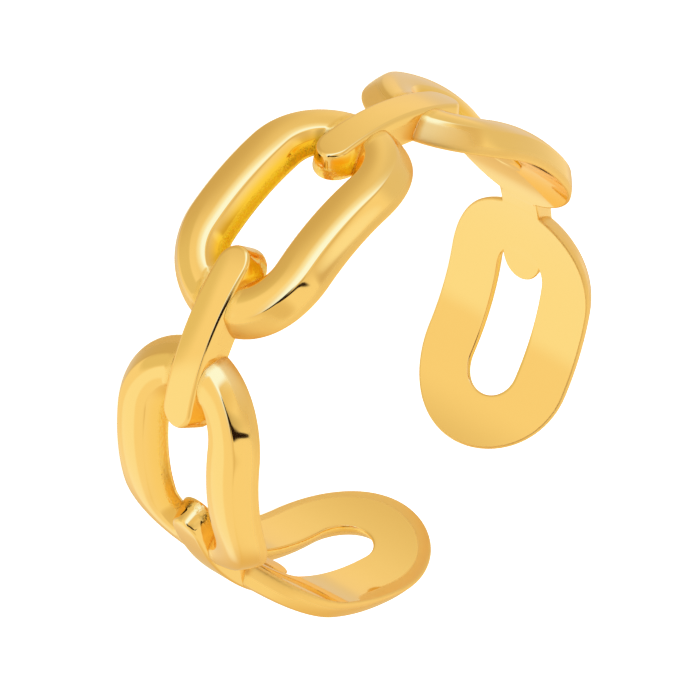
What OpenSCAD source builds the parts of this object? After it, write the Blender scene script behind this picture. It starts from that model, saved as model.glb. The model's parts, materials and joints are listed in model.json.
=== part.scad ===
// Open chain link ring, cast in one piece.
// Oval links lie flat on the finger, and a bridge link stands on edge across each space between two of them.
// The origin is the centre of the finger hole. The hole runs along Z, and the ring opens towards +X.
// A link is drawn on the unrolled finger face as [length round the hole, place across the band],
// and then wrapped round the hole at its height above the finger.

/* [Band] */
// Inside diameter of the ring
finger_d = 17.3; // [15:0.1:20]
// Number of oval links
link_count = 5; // [4:1:6]
// Opening between the two free ends, measured round the finger hole
opening = 3.06; // [1.5:0.02:6]
// Space between two neighbouring oval links, measured round the finger hole
link_space = 0.44; // [0.3:0.02:0.9]

/* [Oval link] */
// Width of an oval link, across the band
link_w = 6.68; // [5.6:0.02:7.4]
// Width of its slot
slot_w = 2.14; // [1.7:0.02:2.8]
// Width of the bar that closes the slot at each end
end_bar = 2.02; // [1.5:0.02:2.3]
// Height of the edge between a bar's side and its top
edge_h = 0.84; // [0.6:0.02:1]
// Height that the domed top rises above that edge
dome_h = 0.1; // [0.04:0.02:0.3]
// How far the outer side leans in between its foot and that edge, along the link
side_lean = 0.5; // [0.2:0.02:0.6]
// How far it leans in at the tip of each end
end_lean = 0.58; // [0.3:0.02:0.8]
// How far the wall of the slot leans back
slot_lean = 0.48; // [0.2:0.02:0.6]
// Height of the foot, where a bar's side stands straight up
foot_h = 0.1; // [0.04:0.02:0.2]

/* [Bridge link] */
// Width of a bridge link on the finger face
bridge_w = 1.84; // [1.4:0.02:2.1]
// How far a bridge link reaches into the slot on each side
bridge_reach = 1.2; // [0.6:0.02:1.6]
// Height of a bridge link's flat top above the finger
bridge_h = 1; // [0.9:0.02:1.3]
// How far its sides lean in between the finger and the top
bridge_lean = 0.28; // [0.1:0.02:0.4]
// Radius of the rounding along the edge of its top
bridge_edge_r = 0.14; // [0.04:0.02:0.16]

/* [Hidden] */
finger_r = finger_d / 2;
// What the spaces leave of the way round the finger hole, shared among the oval links
link_l = (PI * finger_d - opening - (link_count - 1) * link_space) / link_count;
slot_l = link_l - 2 * end_bar;
bridge_l = link_space + 2 * (end_bar + bridge_reach);
// How deep the links are drawn below the finger face before the hole is bored
bore_stock = 0.3;
// How much faster than evenly a bar's side leans in towards its edge
lean_power = 1.3;
// Steps round each half-round end of an outline, and along each of its straight sides
arc_steps = 16;
side_steps = 4;
// Steps up the side of a bar, across its domed top, and round the edge of a bridge link
wall_steps = 2;
dome_steps = 4;
edge_steps = 2;

// Middles of the oval links and of the spaces between them, measured round the hole from the opening
function link_at(i) = opening / 2 + link_l / 2 + i * (link_l + link_space);
function space_at(i) = link_at(i) + (link_l + link_space) / 2;

// A place on the unrolled finger face, put round the hole at a height above it
function wrapped(place, h) = let (turn = place.x / finger_r * 180 / PI)
    [(finger_r + h) * cos(turn), (finger_r + h) * sin(turn), place.y];

// Outline with straight sides and half-round ends. Outlines of all sizes have the same number of points.
// It starts at the tip of one end, goes along the upper side to the other end and comes back below.
function upper_half(l, w) = let (r = w / 2, s = l / 2 - r) [
    for (i = [0:arc_steps / 2]) let (a = 180 * i / arc_steps) [s + r * cos(a), r * sin(a)],
    for (i = [1:side_steps - 1]) [s - 2 * s * i / side_steps, r],
    for (i = [arc_steps / 2:arc_steps]) let (a = 180 * i / arc_steps) [-s + r * cos(a), r * sin(a)]
];
function oval(l, w) = let (upper = upper_half(l, w), n = len(upper)) [
    each upper,
    for (i = [n - 2:-1:1]) [upper[i].x, -upper[i].y]
];
// The oval of the same run moved outward by grow on every side
function grown(l, w, grow) = oval(l + 2 * grow, w + 2 * grow);

// The outer outline of an oval link after a share of its lean
function leaned(share) = oval(link_l - 2 * end_lean * share, link_w - 2 * side_lean * share);

// One row of points: an outline at one height, moved along to where its link lies
function row(outline, h, at) = [for (place = outline) wrapped(place + [at, 0], h)];

// Faces between each row and the next. The faces close into a tube where the last row meets the first.
function row_faces(rows, n, tube) = [
    for (j = [0:rows - (tube ? 1 : 2)], i = [0:n - 1])
        let (a = j * n + i, b = j * n + (i + 1) % n, up = ((j + 1) % rows - j) * n)
            each [[a, b, b + up], [a, b + up, a + up]]
];
// Strips straight across a row, which close a solid below or above
function cap_faces(first, n, top) = [
    for (i = [0:n / 2 - 1])
        let (a = first + i, b = a + 1, c = first + n - i - 1, d = first + (n - i) % n)
            each [if (c != b) top ? [a, c, b] : [a, b, c], if (d != a) top ? [a, d, c] : [a, c, d]]
];

// Oval link: its rows go up the wall of the slot, over the domed top and down the outer side
module oval_link(at) {
    lean = [for (i = [0:wall_steps]) pow(i / wall_steps, lean_power)];
    rise = [for (i = [0:wall_steps]) foot_h + (edge_h - foot_h) * i / wall_steps];
    slot_edge = grown(slot_l, slot_w, slot_lean);
    outer_edge = leaned(1);
    n = len(slot_edge);
    rows = [
        row(oval(slot_l, slot_w), -bore_stock, at),
        for (i = [0:wall_steps]) row(grown(slot_l, slot_w, slot_lean * lean[i]), rise[i], at),
        for (i = [1:dome_steps - 1])
            let (share = i / dome_steps, dome = dome_h * (1 - pow(2 * share - 1, 2)))
                row(slot_edge * (1 - share) + outer_edge * share, edge_h + dome, at),
        for (i = [wall_steps:-1:0]) row(leaned(lean[i]), rise[i], at),
        row(oval(link_l, link_w), -bore_stock, at)
    ];
    polyhedron([for (r = rows) each r], row_faces(len(rows), n, true), convexity = 6);
}

// Bridge link: a solid bar with leaning sides, a flat top and a small rounding along the top's edge
module bridge_link(at) {
    rim = -bridge_lean;
    rows = [
        for (i = [edge_steps:-1:0])
            let (a = 90 * i / edge_steps, in = bridge_edge_r * (1 - cos(a)), drop = bridge_edge_r * (1 - sin(a)))
                row(grown(bridge_l, bridge_w, rim - in), bridge_h - drop, at),
        row(grown(bridge_l, bridge_w, bridge_lean * bore_stock / bridge_h), -bore_stock * 1.2, at)
    ];
    n = len(rows[0]);
    polyhedron(
        [for (r = rows) each r],
        [each cap_faces(0, n, true), each row_faces(len(rows), n, false), each cap_faces((len(rows) - 1) * n, n, false)],
        convexity = 4
    );
}

// All the links, with the finger hole bored through them to one smooth face
module chain_band() {
    color("gold")
    difference() {
        union() {
            for (i = [0:link_count - 1]) oval_link(link_at(i));
            for (i = [0:link_count - 2]) bridge_link(space_at(i));
        }
        // The half turn changes no shape. It puts the bore's seam opposite the opening, which splits the
        // wall of the hole into two faces, and so moves the places where the mount check tests that wall.
        rotate(180) cylinder(r = finger_r, h = 2 * link_w, center = true, $fn = 180);
    }
}

chain_band();
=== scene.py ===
"""Open chain link ring: five oval links and four bridge links in one casting, plated in polished gold."""
import json
import math

import bpy
import numpy as np
from mathutils import Matrix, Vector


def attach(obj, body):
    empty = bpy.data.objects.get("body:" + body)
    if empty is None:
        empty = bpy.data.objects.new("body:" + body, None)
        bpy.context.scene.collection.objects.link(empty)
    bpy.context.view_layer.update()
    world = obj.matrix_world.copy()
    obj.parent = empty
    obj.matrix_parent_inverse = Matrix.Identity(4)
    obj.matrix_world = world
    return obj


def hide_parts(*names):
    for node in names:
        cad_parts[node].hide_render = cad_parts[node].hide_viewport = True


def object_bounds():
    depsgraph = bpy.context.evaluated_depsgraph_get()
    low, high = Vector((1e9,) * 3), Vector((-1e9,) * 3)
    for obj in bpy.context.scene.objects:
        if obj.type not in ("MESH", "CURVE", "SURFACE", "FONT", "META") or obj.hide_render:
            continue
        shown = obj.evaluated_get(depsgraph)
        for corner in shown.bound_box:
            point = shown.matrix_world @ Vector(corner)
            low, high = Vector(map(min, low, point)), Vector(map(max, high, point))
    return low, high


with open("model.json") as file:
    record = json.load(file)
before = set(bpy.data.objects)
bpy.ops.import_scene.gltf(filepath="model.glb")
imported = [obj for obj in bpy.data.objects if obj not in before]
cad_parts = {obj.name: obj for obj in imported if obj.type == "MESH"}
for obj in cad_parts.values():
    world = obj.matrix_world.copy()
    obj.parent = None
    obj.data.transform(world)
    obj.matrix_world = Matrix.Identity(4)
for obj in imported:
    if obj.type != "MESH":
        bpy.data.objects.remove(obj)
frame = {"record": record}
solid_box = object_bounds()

MM = 0.001

# The five oval links.
# Each is a flat link with a slot through it, its finger side bent to the finger hole and its top domed
# between two crisp edges. All five are one casting, and their sides lean in so that they leave the mould.
# The finger hole's radius, as the record gives it for the mount
finger_r = frame["record"]["mounts"][0]["dims"]["r_mm"] * MM
link_count, opening, link_space = 5, 3.06 * MM, 0.44 * MM
link_w, slot_w, end_bar = 6.68 * MM, 2.14 * MM, 2.02 * MM
edge_h, dome_h = 0.84 * MM, 0.1 * MM
side_lean, end_lean, slot_lean = 0.5 * MM, 0.58 * MM, 0.48 * MM
foot_h, foot_round, edge_round = 0.1 * MM, 0.07 * MM, 0.08 * MM
# How much faster than evenly a bar's side leans in towards its edge
lean_power = 1.3
# Height of the wear on the finger edge of the near free end, and its reach in from the outline
worn, worn_reach = 0.12 * MM, 0.5 * MM

link_l = (2 * math.pi * finger_r - opening - (link_count - 1) * link_space) / link_count
slot_l = link_l - 2 * end_bar
pitch = link_l + link_space
link_at = opening / 2 + link_l / 2 + pitch * np.arange(link_count)
# Where the wear begins and where it is full, from the last link's middle towards its free end
worn_from, worn_fully = -0.1 * link_l, 0.25 * link_l

# Points round each half-round end and along each side of a link's outline
link_arc, link_side = 48, 16
# Points up a bar's side, round its foot and its edge, over its dome and across its finger side, where they
# crowd towards the outer edge
wall_points, foot_steps, edge_steps, dome_points, base_points, crowding = 9, 5, 6, 17, 24, 1.6


def way_round(arc_steps, side_steps):
    """Turn and run of each point of an outline with straight sides and half-round ends. The turn grows
    round one end, stays while the run crosses from 1 to -1 or back, and grows again round the other end."""
    quarter = np.arange(arc_steps // 2) * np.pi / arc_steps
    side = np.linspace(1, -1, side_steps, endpoint=False)
    turn = np.concatenate([quarter, np.full(side_steps, np.pi / 2), quarter + np.pi / 2,
                           quarter + np.pi, np.full(side_steps, 1.5 * np.pi), quarter + 1.5 * np.pi])
    end = np.ones(len(quarter))
    return turn, np.concatenate([end, side, -end, -end, -side, end])


def outline(length, width, way):
    """Point = (run * s + r cos turn, r sin turn), with r half the width and s the rest of half the length."""
    turn, run = way
    r = width / 2
    return np.stack([run * (length / 2 - r) + r * np.cos(turn), r * np.sin(turn)], -1)


def wrapped(along, across, height):
    """Bends the flat finger face round the hole: the angle is the length along it over the hole's radius,
    the distance from the axis is that radius plus the height, and the place across the band is z."""
    turn, reach = along / finger_r, finger_r + height
    return np.stack(np.broadcast_arrays(reach * np.cos(turn), reach * np.sin(turn), across), -1)


def rounded(before, corner, after, steps):
    """Small rounding of a corner: B(t) = (1 - t)^2 before + 2 t (1 - t) corner + t^2 after."""
    t = np.linspace(0, 1, steps + 1)[:, None]
    return (1 - t) ** 2 * np.array(before) + 2 * t * (1 - t) * np.array(corner) + t ** 2 * np.array(after)


def bar_section():
    """Section of a bar as rows of (line, height). The line runs from 0 at the slot's foot over 1 at its edge
    and 2 at the outer edge to 3 at the outer foot. A side's lean grows as a power of its height, the top is
    a parabola, and each corner is rounded."""
    def side(rise):
        return np.stack([((rise - foot_h) / (edge_h - foot_h)) ** lean_power, rise], -1)

    def top(share):
        return np.stack([1 + share, edge_h + dome_h * (1 - (2 * share - 1) ** 2)], -1)

    wall = side(np.linspace(foot_h, edge_h - edge_round, wall_points))
    foot = rounded([foot_round / slot_lean, 0], [0, 0], [0, foot_h], foot_steps)
    reach = edge_round / (link_w / 2 - slot_w / 2 - side_lean - slot_lean)
    edge = rounded(wall[-1], [1, edge_h], top(np.array([reach]))[0], edge_steps)
    half = np.concatenate([foot, wall[1:], edge[1:]])
    dome = top(np.linspace(reach, 1 - reach, dome_points))[1:-1]
    other = half[::-1] * [-1, 1] + [3, 0]
    inward = np.linspace(0, 1, base_points) ** crowding
    base = foot[0] + (other[-1] - foot[0]) * (1 - inward)[1:-1, None]
    return np.concatenate([half, dome, other, base])


def tube_faces(around, across):
    """Quads between each row of points and the next, closed both ways."""
    i, k = np.meshgrid(np.arange(around), np.arange(across), indexing="ij")
    i2, k2 = (i + 1) % around, (k + 1) % across
    return np.stack([i * across + k, i * across + k2, i2 * across + k2, i2 * across + k], -1).reshape(-1, 4)


def repeated(faces, points, count):
    """The same faces on each of a number of like pieces, whose points follow one another."""
    return (faces + points * np.arange(count)[:, None, None]).reshape(-1, faces.shape[1])


def oval_distance(along, across, length, width):
    """Distance outside an oval outline, negative inside: that from its middle line less half its width."""
    return np.hypot(np.maximum(np.abs(along) - (length - width) / 2, 0), across) - width / 2


def eased(value, start, end):
    """0 up to start and 1 from end on, with a smooth S between them."""
    share = np.clip((value - start) / (end - start), 0, 1)
    return share * share * (3 - 2 * share)


def solid_object(name, points, *kinds_of_faces):
    """A closed mesh from its points and its faces, with an array for each number of corners."""
    mesh = bpy.data.meshes.new(name)
    mesh.from_pydata(points.reshape(-1, 3), [], [face for faces in kinds_of_faces for face in faces.tolist()])
    mesh.update()
    made = bpy.data.objects.new(name, mesh)
    bpy.context.collection.objects.link(made)
    return made


link_way = way_round(link_arc, link_side)
section = bar_section()
# The lines that a section runs over: slot foot, slot edge, outer edge and outer foot
line_sizes = ((slot_l, slot_w), (slot_l + 2 * slot_lean, slot_w + 2 * slot_lean),
              (link_l - 2 * end_lean, link_w - 2 * side_lean), (link_l, link_w))
lines = np.stack([outline(length, width, link_way) for length, width in line_sizes])
first = np.minimum(section[:, 0].astype(int), len(lines) - 2)
onward = (section[:, 0] - first)[:, None, None]
flat_link = (lines[first] * (1 - onward) + lines[first + 1] * onward).transpose(1, 0, 2)

# At the worn end the finger edge rises as the square of the nearness to the outline
past_outline = oval_distance(flat_link[..., 0], flat_link[..., 1], link_l, link_w)
wear = np.zeros((link_count, *past_outline.shape))
wear[-1] = eased(flat_link[..., 0], worn_from, worn_fully) * np.clip(1 + past_outline / worn_reach, 0, 1) ** 2
link_height = section[:, 1] + worn * wear * np.clip(1 - section[:, 1] / edge_h, 0, 1)
link_points = wrapped(flat_link[..., 0] + link_at[:, None, None], flat_link[..., 1], link_height)
link_faces = repeated(tube_faces(*past_outline.shape), past_outline.size, link_count)
links = solid_object("oval_links", link_points, link_faces)

# The four bridge links.
# Each is a narrow bar on edge with half-round ends and a flat top. It crosses the space between two oval
# links, passes over their end bars and stands in their slots, and it is one casting with them.
bridge_w, bridge_reach = 1.84 * MM, 1.2 * MM
bridge_h, bridge_lean, bridge_round = 1 * MM, 0.28 * MM, 0.14 * MM
# Its foot is a little above the finger face, so that the links' finger faces stay whole where they join
bridge_foot = 0.004 * MM

bridge_l = link_space + 2 * (end_bar + bridge_reach)
bridge_at = link_at[:-1] + pitch / 2

# Points round each half-round end and along each side of its outline, up its side and round its foot and edge
bridge_arc, bridge_side = 40, 28
bridge_wall_points, bridge_foot_steps, bridge_edge_steps = 7, 4, 6


def bridge_rows():
    """Rows of (growth, height): a small rounding at the foot, a straight leaning side, a round top edge."""
    slope = -bridge_lean / bridge_h
    foot = rounded([-foot_round, bridge_foot], [0, bridge_foot], [slope * foot_round, foot_round],
                   bridge_foot_steps)
    wall = np.linspace(foot_round, bridge_h - bridge_round, bridge_wall_points)[1:, None] * [slope, 1]
    top = rounded(wall[-1], [-bridge_lean, bridge_h], [-bridge_lean - bridge_round, bridge_h],
                  bridge_edge_steps)
    return np.concatenate([foot, wall, top[1:]])


def bar_faces(rows, around):
    """Quads up the sides and straight across the bottom and the top, and triangles at the last two's tips."""
    i, k = np.meshgrid(np.arange(around), np.arange(rows - 1), indexing="ij")
    i2 = (i + 1) % around
    sides = np.stack([i + k * around, i2 + k * around, i2 + (k + 1) * around, i + (k + 1) * around], -1)
    half, top = around // 2, (rows - 1) * around
    a = np.arange(1, half - 1)
    strip = np.stack([a, a + 1, around - a - 1, around - a], -1)
    tips = np.array([[0, 1, around - 1], [half - 1, half, half + 1]])
    return (np.concatenate([sides.reshape(-1, 4), strip[:, ::-1], strip + top]),
            np.concatenate([tips[:, ::-1], tips + top]))


rows = bridge_rows()
bridge_way = way_round(bridge_arc, bridge_side)
flat_bridge = np.stack([outline(bridge_l + 2 * g, bridge_w + 2 * g, bridge_way) for g in rows[:, 0]])
row_count, row_length, _ = flat_bridge.shape
bridge_points = wrapped(flat_bridge[..., 0] + bridge_at[:, None, None], flat_bridge[..., 1], rows[:, 1:2])
bridge_faces = [repeated(faces, row_count * row_length, len(bridge_at))
                for faces in bar_faces(row_count, row_length)]
bridges = solid_object("bridge_links", bridge_points, *bridge_faces)

# The casting.
# The oval links and the bridge links are one piece of metal, so their surfaces are joined into one skin,
# which is smooth but for its crisp edges.
crisp_from = math.radians(32)
join = links.modifiers.new("one_casting", "BOOLEAN")
join.operation, join.solver, join.object = "UNION", "MANIFOLD", bridges
joined = bpy.data.meshes.new_from_object(links.evaluated_get(bpy.context.evaluated_depsgraph_get()))
joined.name = "chain_band_skin"
links.modifiers.clear()
for tool in (links, bridges):
    bpy.data.objects.remove(tool)
band = bpy.data.objects.new("gold_chain_band", joined)
bpy.context.collection.objects.link(band)
joined.shade_smooth()
joined.set_sharp_from_angle(angle=crisp_from)


def store_places(name, middles):
    """Writes on each face corner where it lies, in mm: (length round the hole from the nearest of the
    middles, place across the band, height above the finger), and gives back the number of that middle. The
    nearest middle is chosen by the face, so no face is torn."""
    points = np.zeros(3 * len(joined.vertices))
    centres = np.zeros(3 * len(joined.polygons))
    corner = np.zeros(len(joined.loops), int)
    corners = np.zeros(len(joined.polygons), int)
    joined.vertices.foreach_get("co", points)
    joined.polygons.foreach_get("center", centres)
    joined.loops.foreach_get("vertex_index", corner)
    joined.polygons.foreach_get("loop_total", corners)
    x, y, across = points.reshape(-1, 3)[corner].T
    middle_x, middle_y, _ = np.repeat(centres.reshape(-1, 3), corners, axis=0).T
    turn = np.arctan2(middle_y, middle_x) % (2 * np.pi)
    nearest = np.abs(turn[:, None] * finger_r - middles).argmin(1)
    bend = (np.arctan2(y, x) - turn + np.pi) % (2 * np.pi) - np.pi
    along = (turn + bend) * finger_r - middles[nearest]
    place = np.stack([along, across, np.hypot(x, y) - finger_r], -1) / MM
    stored = joined.attributes.new(name, "FLOAT_VECTOR", "CORNER")
    stored.data.foreach_set("vector", place.ravel().astype(np.float32))
    return nearest


store_places("place_on_bridge", bridge_at)
link_numbers = store_places("place_on_link", link_at)
numbers = joined.attributes.new("link_number", "FLOAT", "CORNER")
numbers.data.foreach_set("value", link_numbers.astype(np.float32))

# The gold plate.
# A thin skin of yellow gold on the brass casting. It is polished bright on a wheel, which doesn't reach down
# into the slots, where the skin stays as cast: grainy and of a deeper colour.
gold_colour, slot_colour, grain_colour = (0.98, 0.66, 0.19, 1), (0.97, 0.56, 0.03, 1), (0.95, 0.6, 0.02, 1)
# The first three links keep all of their rough skin, and the last two were polished further down
rough_links, rough_left = 3, 0.25
# Roughness of the polished gold, and what the skin as cast, the tumbled edges and the waves add to it
polished_rough, cast_rough, tumbled_rough, wave_rough = 0.05, 0.22, 0.42, 0.03
# Roughness and deep colour of the uneven skin beside a bridge link, as shares of those in the slots
melted_rough, melted_deep = 1.3, 0.3
# In mm, how much further up the end walls of the rough links are only tumbled
rough_rise = 0.28
# Share of the grain as cast that is left on and beside a bridge link
bridge_grain = 0.5
# Number to the metre, and depth in mm, of the grain as cast, of the lumps beside a bridge link and of the
# polishing waves
grain_scale, lump_scale, wave_scale = 11000, 3500, 500
grain_depth, lump_depth, wave_depth = 0.022, 0.03, 0.004


class Field:
    """A value that changes over a surface or a direction. Arithmetic on it adds Math nodes."""

    def __init__(self, tree, socket=None):
        self.tree, self.socket = tree, socket

    def make(self, kind, settings=None, inputs=None, out=0):
        """Adds any other node: its type, its settings, and the values or links of its sockets."""
        node = self.tree.nodes.new(kind)
        for name, value in (settings or {}).items():
            setattr(node, name, value)
        for name, value in (inputs or {}).items():
            if isinstance(value, Field):
                self.tree.links.new(value.socket, node.inputs[name])
            else:
                node.inputs[name].default_value = value
        return Field(self.tree, node.outputs[out])

    def maths(self, operation, *values):
        return self.make("ShaderNodeMath", {"operation": operation}, dict(enumerate((self, *values))))

    def __add__(self, other):
        return self.maths("ADD", other)

    def __sub__(self, other):
        return self.maths("SUBTRACT", other)

    def __rsub__(self, other):
        return self * -1 + other

    def __mul__(self, other):
        return self.maths("MULTIPLY", other)

    __radd__, __rmul__ = __add__, __mul__

    def dot(self, vector):
        return self.make("ShaderNodeVectorMath", {"operation": "DOT_PRODUCT"}, {0: self, 1: vector}, "Value")

    def step(self, start, end):
        """0 up to start and 1 from end on, with a smooth S between them. The start may be the larger one."""
        return self.make("ShaderNodeMapRange", {"interpolation_type": "SMOOTHSTEP"},
                         {"Value": self, "From Min": start, "From Max": end})

    def plain(self, colour):
        """One colour all over, for others to be blended into."""
        return self.make("ShaderNodeMix", {"data_type": "RGBA"}, {"Factor": 0, 6: colour}, 2)

    def blend(self, other, share):
        """This colour turned into another by a share from 0 to 1."""
        return self.make("ShaderNodeMix", {"data_type": "RGBA"}, {"Factor": share, 6: self, 7: other}, 2)

    def parts(self):
        split = self.make("ShaderNodeSeparateXYZ", inputs={0: self}).socket.node
        return [Field(self.tree, out) for out in split.outputs]


gold = bpy.data.materials.new("polished_gold")
gold.use_nodes = True
shader = gold.node_tree.nodes["Principled BSDF"]
shader.inputs["Metallic"].default_value = 1
skin = Field(gold.node_tree)
where = skin.make("ShaderNodeTexCoord", out="Object")


def stored_place(name):
    """Length round the hole, place across the band and height above the finger, in mm, as stored."""
    return skin.make("ShaderNodeAttribute", {"attribute_name": name}, out="Vector").parts()


def past_oval(along, across, length, width):
    """Distance in mm outside an oval outline, negative inside: as oval_distance gives it for arrays."""
    past = (along.maths("ABSOLUTE") - (length - width) / 2 / MM).maths("MAXIMUM", 0)
    return (past * past + across * across).maths("SQRT") - width / 2 / MM


def noise(scale, detail):
    return skin.make("ShaderNodeTexNoise", inputs={"Vector": where, "Scale": scale, "Detail": detail})


grain, lumps, waves = noise(grain_scale, 2), noise(lump_scale, 1), noise(wave_scale, 1)
along_link, across_link, height = stored_place("place_on_link")
along_bridge, across_bridge, _ = stored_place("place_on_bridge")
from_slot = past_oval(along_link, across_link, slot_l, slot_w)
from_rim = past_oval(along_link, across_link, link_l, link_w)
from_bridge = past_oval(along_bridge, across_bridge, bridge_l, bridge_w) + height * (bridge_lean / bridge_h)
number = skin.make("ShaderNodeAttribute", {"attribute_name": "link_number"}, out="Fac")
unpolished = number.step(rough_links - 0.3, rough_links - 0.7) * (1 - rough_left) + rough_left

# Shares from 0 to 1 of each kind of skin. The two numbers of a step are places in mm: where the share is 0,
# and where it is 1.
off_bridge = from_bridge.step(0.02, 0.08)
slot_wall = from_slot.step(0.48, 0.2) * height.step(0.05, 0.12) * height.step(0.82, 0.72) * off_bridge
slot_foot = from_slot.step(0.36, 0.24) * height.step(0.5, 0.36) * height.step(0.05, 0.14)
as_cast = slot_foot * (off_bridge * (1 - bridge_grain) + bridge_grain)
# Beside a bridge link the wax was melted to join it, and the skin is uneven there
melted = from_bridge.step(0.3, 0.06) * from_bridge.step(0.012, 0.03) * height.step(0.02, 0.1)
# The edge of the finger side, and the end walls of two links that face each other, are only tumbled, so they
# are softer than the polished faces
link_end = link_l / 2 / MM
end_wall = along_link.maths("ABSOLUTE").step(link_end - 1.9, link_end - 1)
end_wall = end_wall * (height - unpolished * rough_rise).step(0.53, 0.36)
outer_side = from_rim.step(-0.6, -0.5) * height.step(0.0001, 0.0012) * from_bridge.step(-0.02, 0.02)
tumbled = outer_side * height.step(0.45, 0.2).maths("MAXIMUM", end_wall)

deep = slot_wall.maths("MAXIMUM", melted * melted_deep) * unpolished
dull = as_cast.maths("MAXIMUM", melted * melted_rough)
grainy = as_cast * unpolished * grain.step(0.35, 0.6)
colour = skin.plain(gold_colour).blend(slot_colour, deep).blend(grain_colour, grainy)
roughness = dull * cast_rough + tumbled * tumbled_rough + waves * wave_rough + polished_rough
relief = grain * as_cast * grain_depth + lumps * melted * lump_depth + waves * wave_depth
bump = skin.make("ShaderNodeBump", inputs={"Height": relief, "Distance": MM, "Strength": 1})
for field, socket in ((colour, "Base Color"), (roughness, "Roughness"), (bump, "Normal")):
    skin.tree.links.new(field.socket, shader.inputs[socket])
joined.materials.clear()
joined.materials.append(gold)
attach(band, "root")
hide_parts("chain_band")

# The surface it lies on.
# A plain pale table top, at the height of the lower edges of the links, which the ring rests on. It is left
# out of the reflections, because the panels of the studio reach round below the ring.
floor_half, floor_z = 0.6, solid_box[0][2]
floor_mesh = bpy.data.meshes.new("floor")
floor_corners = [(x * floor_half, y * floor_half, floor_z) for x, y in ((-1, -1), (1, -1), (1, 1), (-1, 1))]
floor_mesh.from_pydata(floor_corners, [], [(0, 1, 2, 3)])
floor = bpy.data.objects.new("floor", floor_mesh)
bpy.context.collection.objects.link(floor)
white = bpy.data.materials.new("white_table")
white.use_nodes = True
paper = white.node_tree.nodes["Principled BSDF"].inputs
paper["Base Color"].default_value = (0.95, 0.95, 0.95, 1)
paper["Roughness"].default_value = 0.6
paper["Emission Color"].default_value = (0.8, 0.93, 1, 1)
paper["Emission Strength"].default_value = 0.9
floor_mesh.materials.append(white)
floor.visible_glossy = False

# The studio.
# The polished gold mirrors a warm white room with soft panels in it. Most are pale. Two are bright and cool,
# level with the ring on the camera's side, and three dark screens beside the camera draw the dark lines.
room_colour = (0.97, 0.92, 0.85, 1)
world = bpy.data.worlds.new("studio")
world.use_nodes = True
sky = Field(world.node_tree).make("ShaderNodeTexCoord", out="Generated")


def facing(azimuth, elevation, roll):
    """Directions to the right, up and out of a picture that is seen from the azimuth, counted from +X towards
    +Y, and the elevation, and that is turned in its plane by the roll, all in degrees."""
    a, e, t = map(math.radians, (azimuth, elevation, roll))
    out = np.array([math.cos(e) * math.cos(a), math.cos(e) * math.sin(a), math.sin(e)])
    right = np.array([-math.sin(a), math.cos(a), 0])
    up = np.cross(out, right)
    return math.cos(t) * right + math.sin(t) * up, math.cos(t) * up - math.sin(t) * right, out


def panel(azimuth, elevation, half_width, half_height, soft, roll):
    """Share of a soft oval in the sky: 1 where (x / half width)^2 + (y / half height)^2 is under 1 - soft,
    and 0 over 1 + soft. x and y are the sines of the angles from the panel's middle, turned by its roll."""
    right, up, middle = facing(azimuth, elevation, roll)
    x = sky.dot(right / math.sin(math.radians(half_width)))
    y = sky.dot(up / math.sin(math.radians(half_height)))
    return (x * x + y * y).step(1 + soft, 1 - soft) * sky.dot(middle).step(0, 0.1)


# Each panel's colour, and its azimuth, elevation, half width, half height, softness and roll, with the angles
# in degrees. Each is laid over those before it.
light = sky.plain(room_colour)
for shade, at in (
    # Overhead and round the far side
    ((0.70, 0.60, 0.50), (115, 80, 20, 9, 0.7, -10)),
    ((0.80, 0.75, 0.70), (95, 10, 50, 35, 0.5, -30)),
    ((0.80, 0.60, 0.30), (0, -20, 50, 25, 0.95, -30)),
    ((0.80, 0.75, 0.75), (75, -10, 40, 12, 0.5, 50)),
    ((0.70, 0.60, 0.50), (75, 65, 15, 10, 0.8, -80)),
    # Below the ring
    ((0.80, 0.75, 0.60), (215, -50, 25, 15, 0.3, 5)),
    ((0.65, 0.55, 0.40), (130, -70, 30, 50, 0.95, -45)),
    ((1.00, 1.05, 1.15), (285, -35, 40, 12, 0.3, 0)),
    # The camera's side
    ((1.00, 1.20, 1.85), (185, 0, 55, 18, 0.7, 5)),
    ((0.75, 0.65, 0.55), (145, 35, 15, 40, 0.95, -40)),
    ((0.85, 0.75, 0.60), (215, 15, 25, 55, 0.5, -85)),
    ((0.60, 0.55, 0.45), (210, 30, 15, 20, 0.9, 10)),
    # Two smaller ones higher up
    ((1.00, 1.05, 1.20), (135, 65, 12, 6, 0.95, 20)),
    ((0.80, 0.70, 0.55), (265, 35, 15, 15, 0.95, -25)),
    # A bright strip level with the ring
    ((1.00, 1.40, 3.10), (180, -2, 50, 10, 0.7, 0)),
    # Dark screens beside the camera
    ((0.02, 0.02, 0.01), (222, 5, 20, 6, 0.5, 5)),
    ((0.02, 0.01, 0.01), (220, 30, 12, 24, 0.25, 0)),
    ((0.02, 0.01, 0.01), (220, 45, 4, 22, 0.3, 10)),
):
    light = light.blend((*shade, 1), panel(*at))
background = world.node_tree.nodes["Background"].inputs
world.node_tree.links.new(light.socket, background["Color"])
background["Strength"].default_value = 1
# The room is soft all round, so it needs no map of where its light comes from, which saves time
world.cycles.sampling_method = "NONE"
bpy.context.scene.world = world

# The camera.
# A long lens a quarter of a metre away, 33 degrees above the ring's middle plane and so above the table. It
# is rolled and aimed so that the ring lies in the picture as it does in the photograph.
camera_azimuth, camera_elevation, camera_roll = 198.91, 33.26, 119.62
camera_distance, camera_aim = 243 * MM, np.array([0, -0.35, -0.19]) * MM
right, up, back = facing(camera_azimuth, camera_elevation, camera_roll)
view = np.eye(4)
view[:3] = np.stack([right, up, back, camera_aim + back * camera_distance], -1)
camera = bpy.data.objects.new("camera", bpy.data.cameras.new("camera"))
camera.data.lens = 348.41
camera.data.sensor_width = 36
camera.data.clip_start = 0.01
camera.matrix_world = Matrix(view.tolist())
bpy.context.collection.objects.link(camera)
bpy.context.scene.camera = camera
bpy.context.scene.view_settings.view_transform = "Standard"
